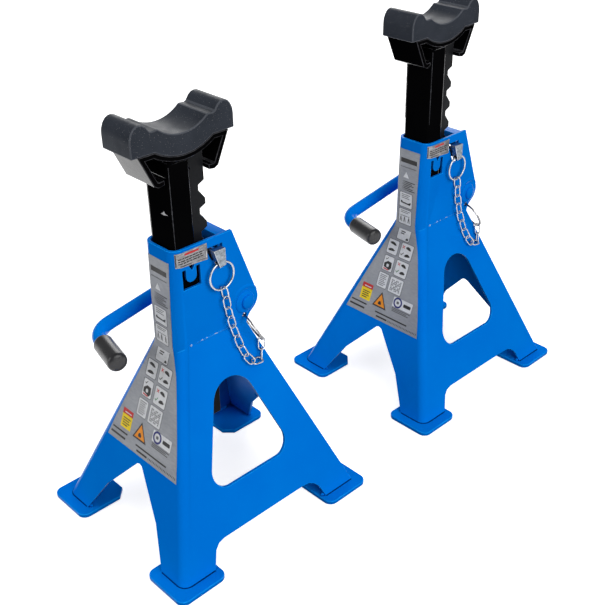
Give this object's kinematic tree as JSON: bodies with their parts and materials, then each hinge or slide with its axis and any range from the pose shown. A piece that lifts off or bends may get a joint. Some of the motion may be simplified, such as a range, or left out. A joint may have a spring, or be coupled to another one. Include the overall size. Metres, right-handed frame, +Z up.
{
  "type": "axle stand pair",
  "caption": "Pair of folded-steel ratchet axle stands: four splayed legs, toothed post with grooved rubber pad, bent release lever, chained safety key.",
  "frame": {"origin": "on the floor, midway between the two stands (bottom centre of the bounding box)", "axes": "+Z up, +Y from the front stand to the back stand, +X towards the safety key side, away from the levers"},
  "size_m": [0.1744, 0.462, 0.3455],
  "materials": {
    "frame_blue": "gloss blue powder coat",
    "post_black": "gloss black paint",
    "saddle_black": "gloss black paint",
    "pad_rubber": "matt moulded rubber",
    "grip_rubber": "satin vinyl",
    "pawl_steel": "black paint",
    "key_zinc": "zinc plated, slightly rough",
    "ring_steel": "nickel plated",
    "chain_zinc": "bright zinc",
    "label_grey": "satin printed film",
    "sticker_silver": "silver printed film"
  },
  "bodies": {
    "front_frame": {"front_shell": "frame_blue", "front_rear_plate": "frame_blue", "front_foot_fl": "frame_blue", "front_foot_fr": "frame_blue", "front_foot_rl": "frame_blue", "front_foot_rr": "frame_blue", "front_top_guide": "frame_blue", "front_low_guide": "frame_blue", "front_chain": "chain_zinc", "front_split_ring": "ring_steel", "front_label": "label_grey", "front_sticker": "sticker_silver"},
    "front_ram": {"front_post": "post_black", "front_rack": "post_black", "front_saddle": "saddle_black", "front_pad": "pad_rubber"},
    "front_lever_arm": {"front_lever": "frame_blue", "front_grip": "grip_rubber", "front_pawl": "pawl_steel"},
    "front_safety_key": {"front_key": "key_zinc", "front_key_ring": "ring_steel"},
    "back_frame": {"back_shell": "frame_blue", "back_rear_plate": "frame_blue", "back_foot_fl": "frame_blue", "back_foot_fr": "frame_blue", "back_foot_rl": "frame_blue", "back_foot_rr": "frame_blue", "back_top_guide": "frame_blue", "back_low_guide": "frame_blue", "back_chain": "chain_zinc", "back_split_ring": "ring_steel", "back_label": "label_grey", "back_sticker": "sticker_silver"},
    "back_ram": {"back_post": "post_black", "back_rack": "post_black", "back_saddle": "saddle_black", "back_pad": "pad_rubber"},
    "back_lever_arm": {"back_lever": "frame_blue", "back_grip": "grip_rubber", "back_pawl": "pawl_steel"},
    "back_safety_key": {"back_key": "key_zinc", "back_key_ring": "ring_steel"}
  },
  "joints": [
    {"name": "front_post_lift", "type": "slide", "parent": "front_frame", "child": "front_ram", "axis": [0, 0, 1], "range_m": [-0.035, 0.07]},
    {"name": "front_lever_swing", "type": "hinge", "parent": "front_frame", "child": "front_lever_arm", "pos_m": [0.00175, -0.101, 0.171], "axis": [-1, 0, 0], "range_deg": [0, 40]},
    {"name": "front_key_out", "type": "slide", "parent": "front_frame", "child": "front_safety_key", "axis": [1, 0, 0], "range_m": [0, 0.045]},
    {"name": "back_post_lift", "type": "slide", "parent": "back_frame", "child": "back_ram", "axis": [0, 0, 1], "range_m": [-0.0525, 0.0525]},
    {"name": "back_lever_swing", "type": "hinge", "parent": "back_frame", "child": "back_lever_arm", "pos_m": [-0.00175, 0.169, 0.171], "axis": [-1, 0, 0], "range_deg": [0, 40]},
    {"name": "back_key_out", "type": "slide", "parent": "back_frame", "child": "back_safety_key", "axis": [1, 0, 0], "range_m": [0, 0.045]},
    {"name": "back_stand_apart", "type": "slide", "parent": "front_frame", "child": "back_frame", "axis": [0, 1, 0], "range_m": [0, 0.2]}
  ]
}
